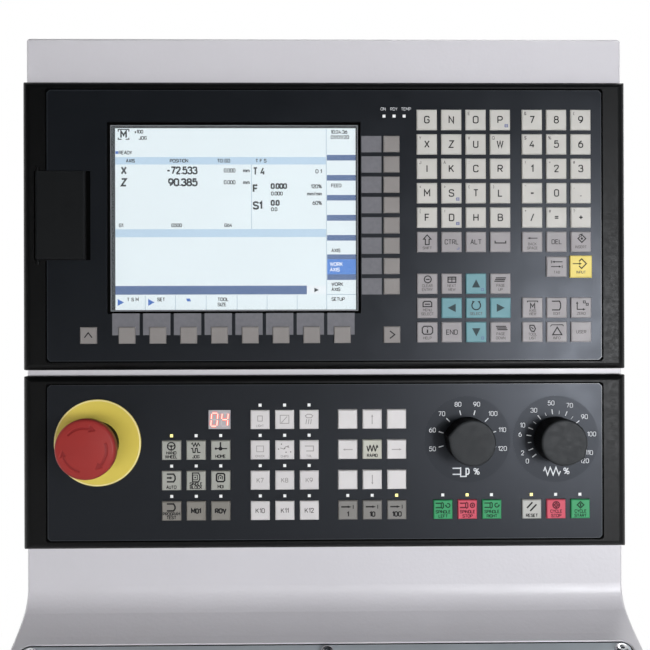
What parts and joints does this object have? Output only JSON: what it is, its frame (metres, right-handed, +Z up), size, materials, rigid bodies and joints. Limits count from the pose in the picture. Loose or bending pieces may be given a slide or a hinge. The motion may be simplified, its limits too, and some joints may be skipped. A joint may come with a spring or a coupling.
{
  "type": "cnc lathe operator console",
  "caption": "Operator console of a CNC turning lathe: grey sheet-steel housing with screen and key panel, machine control panel, override knobs, emergency stop and sloping desk.",
  "frame": {"origin": "centre of the four base bolt holes, on the console's underside", "axes": "+X to the operator's right, +Y towards the console's back, +Z up; the panels face -Y"},
  "size_m": [0.42, 0.2877, 0.498],
  "materials": {
    "housing_paint": "light grey textured powder coat",
    "black_rubber": "matte",
    "desk_steel": "satin blue-grey",
    "chrome_screw": "polished",
    "frame_plastic": "fine moulded grain",
    "overlay_film": "satin film",
    "screen_glass": "clear",
    "screen_image": "lit screen",
    "circuit_board": "green solder mask",
    "zinc_steel": "zinc plated",
    "light_pipe": "clouded white",
    "yellow_plastic": "smooth",
    "black_plastic": "satin",
    "switch_plastic": "moulded",
    "red_plastic": "smooth",
    "knob_plastic": "fine grain",
    "key_mode": "satin",
    "key_light": "satin",
    "key_step": "satin",
    "key_green": "satin",
    "key_red": "satin",
    "key_reset": "satin"
  },
  "bodies": {
    "console": {"console_housing": "housing_paint", "rear_cover": "housing_paint", "rear_cover_seal": "black_rubber", "desk_plate_seal": "black_rubber", "cable_grommet": "black_rubber", "desk_plate": "desk_steel", "cover_screws": "chrome_screw", "operator_frame": "frame_plastic", "machine_frame": "frame_plastic", "operator_overlay": "overlay_film", "machine_overlay": "overlay_film", "display_window": "screen_glass", "display_module": "screen_image", "operator_board": "circuit_board", "machine_board": "circuit_board", "operator_rear_case": "zinc_steel", "machine_rear_case": "zinc_steel", "panel_clamps": "zinc_steel", "flap_pins": "zinc_steel", "interface_socket": "zinc_steel", "status_leds": "light_pipe", "key_leds": "light_pipe", "tool_display": "light_pipe", "estop_plate": "yellow_plastic", "estop_collar": "black_plastic", "estop_contact_block": "switch_plastic", "override_switches": "switch_plastic"},
    "flap": {"interface_flap": "frame_plastic"},
    "estop_plunger": {"estop_plunger": "black_plastic"},
    "estop_mushroom": {"estop_mushroom": "red_plastic"},
    "spindle_override_knob": {"spindle_override_knob": "knob_plastic"},
    "feed_override_knob": {"feed_override_knob": "knob_plastic"},
    "hand_wheel_key": {"hand_wheel_key": "key_mode"},
    "jog_key": {"jog_key": "key_mode"},
    "ref_point_key": {"ref_point_key": "key_mode"},
    "auto_key": {"auto_key": "key_mode"},
    "single_block_key": {"single_block_key": "key_mode"},
    "mda_key": {"mda_key": "key_mode"},
    "program_test_key": {"program_test_key": "key_mode"},
    "optional_stop_key": {"optional_stop_key": "key_mode"},
    "rapid_override_key": {"rapid_override_key": "key_mode"},
    "axis_key_upper_left": {"axis_key_upper_left": "key_light"},
    "axis_key_up": {"axis_key_up": "key_light"},
    "axis_key_upper_right": {"axis_key_upper_right": "key_light"},
    "axis_key_left": {"axis_key_left": "key_light"},
    "rapid_key": {"rapid_key": "key_light"},
    "axis_key_right": {"axis_key_right": "key_light"},
    "axis_key_lower_left": {"axis_key_lower_left": "key_light"},
    "axis_key_down": {"axis_key_down": "key_light"},
    "axis_key_lower_right": {"axis_key_lower_right": "key_light"},
    "step_1_key": {"step_1_key": "key_step"},
    "step_10_key": {"step_10_key": "key_step"},
    "step_100_key": {"step_100_key": "key_step"},
    "spindle_left_key": {"spindle_left_key": "key_green"},
    "spindle_stop_key": {"spindle_stop_key": "key_red"},
    "spindle_right_key": {"spindle_right_key": "key_green"},
    "reset_key": {"reset_key": "key_reset"},
    "cycle_stop_key": {"cycle_stop_key": "key_red"},
    "cycle_start_key": {"cycle_start_key": "key_green"}
  },
  "joints": [
    {"name": "flap_hinge", "type": "hinge", "parent": "console", "child": "flap", "pos_m": [-0.1988, -0.0226, 0.3657], "axis": [0, 0, -1], "range_deg": [0, 95]},
    {"name": "estop_push", "type": "slide", "parent": "console", "child": "estop_plunger", "axis": [0, 1, 0], "range_m": [0, 0.0045], "stiffness_N_per_m": 900},
    {"name": "estop_twist", "type": "hinge", "parent": "estop_plunger", "child": "estop_mushroom", "pos_m": [-0.1578, -0.0534, 0.2156], "axis": [0, 1, 0], "range_deg": [0, 40], "stiffness_Nm_per_rad": 0.05},
    {"name": "spindle_override_turn", "type": "hinge", "parent": "console", "child": "spindle_override_knob", "pos_m": [0.0983, -0.0334, 0.2169], "axis": [0, 1, 0], "range_deg": [-30, 180]},
    {"name": "feed_override_turn", "type": "hinge", "parent": "console", "child": "feed_override_knob", "pos_m": [0.16, -0.0334, 0.2169], "axis": [0, 1, 0], "range_deg": [-255, 0]},
    {"name": "hand_wheel_key_press", "type": "slide", "parent": "console", "child": "hand_wheel_key", "axis": [0, 1, 0], "range_m": [0, 0.001], "stiffness_N_per_m": 500},
    {"name": "jog_key_press", "type": "slide", "parent": "console", "child": "jog_key", "axis": [0, 1, 0], "range_m": [0, 0.001], "stiffness_N_per_m": 500},
    {"name": "ref_point_key_press", "type": "slide", "parent": "console", "child": "ref_point_key", "axis": [0, 1, 0], "range_m": [0, 0.001], "stiffness_N_per_m": 500},
    {"name": "auto_key_press", "type": "slide", "parent": "console", "child": "auto_key", "axis": [0, 1, 0], "range_m": [0, 0.001], "stiffness_N_per_m": 500},
    {"name": "single_block_key_press", "type": "slide", "parent": "console", "child": "single_block_key", "axis": [0, 1, 0], "range_m": [0, 0.001], "stiffness_N_per_m": 500},
    {"name": "mda_key_press", "type": "slide", "parent": "console", "child": "mda_key", "axis": [0, 1, 0], "range_m": [0, 0.001], "stiffness_N_per_m": 500},
    {"name": "program_test_key_press", "type": "slide", "parent": "console", "child": "program_test_key", "axis": [0, 1, 0], "range_m": [0, 0.001], "stiffness_N_per_m": 500},
    {"name": "optional_stop_key_press", "type": "slide", "parent": "console", "child": "optional_stop_key", "axis": [0, 1, 0], "range_m": [0, 0.001], "stiffness_N_per_m": 500},
    {"name": "rapid_override_key_press", "type": "slide", "parent": "console", "child": "rapid_override_key", "axis": [0, 1, 0], "range_m": [0, 0.001], "stiffness_N_per_m": 500},
    {"name": "axis_key_upper_left_press", "type": "slide", "parent": "console", "child": "axis_key_upper_left", "axis": [0, 1, 0], "range_m": [0, 0.001], "stiffness_N_per_m": 500},
    {"name": "axis_key_up_press", "type": "slide", "parent": "console", "child": "axis_key_up", "axis": [0, 1, 0], "range_m": [0, 0.001], "stiffness_N_per_m": 500},
    {"name": "axis_key_upper_right_press", "type": "slide", "parent": "console", "child": "axis_key_upper_right", "axis": [0, 1, 0], "range_m": [0, 0.001], "stiffness_N_per_m": 500},
    {"name": "axis_key_left_press", "type": "slide", "parent": "console", "child": "axis_key_left", "axis": [0, 1, 0], "range_m": [0, 0.001], "stiffness_N_per_m": 500},
    {"name": "rapid_key_press", "type": "slide", "parent": "console", "child": "rapid_key", "axis": [0, 1, 0], "range_m": [0, 0.001], "stiffness_N_per_m": 500},
    {"name": "axis_key_right_press", "type": "slide", "parent": "console", "child": "axis_key_right", "axis": [0, 1, 0], "range_m": [0, 0.001], "stiffness_N_per_m": 500},
    {"name": "axis_key_lower_left_press", "type": "slide", "parent": "console", "child": "axis_key_lower_left", "axis": [0, 1, 0], "range_m": [0, 0.001], "stiffness_N_per_m": 500},
    {"name": "axis_key_down_press", "type": "slide", "parent": "console", "child": "axis_key_down", "axis": [0, 1, 0], "range_m": [0, 0.001], "stiffness_N_per_m": 500},
    {"name": "axis_key_lower_right_press", "type": "slide", "parent": "console", "child": "axis_key_lower_right", "axis": [0, 1, 0], "range_m": [0, 0.001], "stiffness_N_per_m": 500},
    {"name": "step_1_key_press", "type": "slide", "parent": "console", "child": "step_1_key", "axis": [0, 1, 0], "range_m": [0, 0.001], "stiffness_N_per_m": 500},
    {"name": "step_10_key_press", "type": "slide", "parent": "console", "child": "step_10_key", "axis": [0, 1, 0], "range_m": [0, 0.001], "stiffness_N_per_m": 500},
    {"name": "step_100_key_press", "type": "slide", "parent": "console", "child": "step_100_key", "axis": [0, 1, 0], "range_m": [0, 0.001], "stiffness_N_per_m": 500},
    {"name": "spindle_left_key_press", "type": "slide", "parent": "console", "child": "spindle_left_key", "axis": [0, 1, 0], "range_m": [0, 0.001], "stiffness_N_per_m": 500},
    {"name": "spindle_stop_key_press", "type": "slide", "parent": "console", "child": "spindle_stop_key", "axis": [0, 1, 0], "range_m": [0, 0.001], "stiffness_N_per_m": 500},
    {"name": "spindle_right_key_press", "type": "slide", "parent": "console", "child": "spindle_right_key", "axis": [0, 1, 0], "range_m": [0, 0.001], "stiffness_N_per_m": 500},
    {"name": "reset_key_press", "type": "slide", "parent": "console", "child": "reset_key", "axis": [0, 1, 0], "range_m": [0, 0.001], "stiffness_N_per_m": 500},
    {"name": "cycle_stop_key_press", "type": "slide", "parent": "console", "child": "cycle_stop_key", "axis": [0, 1, 0], "range_m": [0, 0.001], "stiffness_N_per_m": 500},
    {"name": "cycle_start_key_press", "type": "slide", "parent": "console", "child": "cycle_start_key", "axis": [0, 1, 0], "range_m": [0, 0.001], "stiffness_N_per_m": 500}
  ]
}
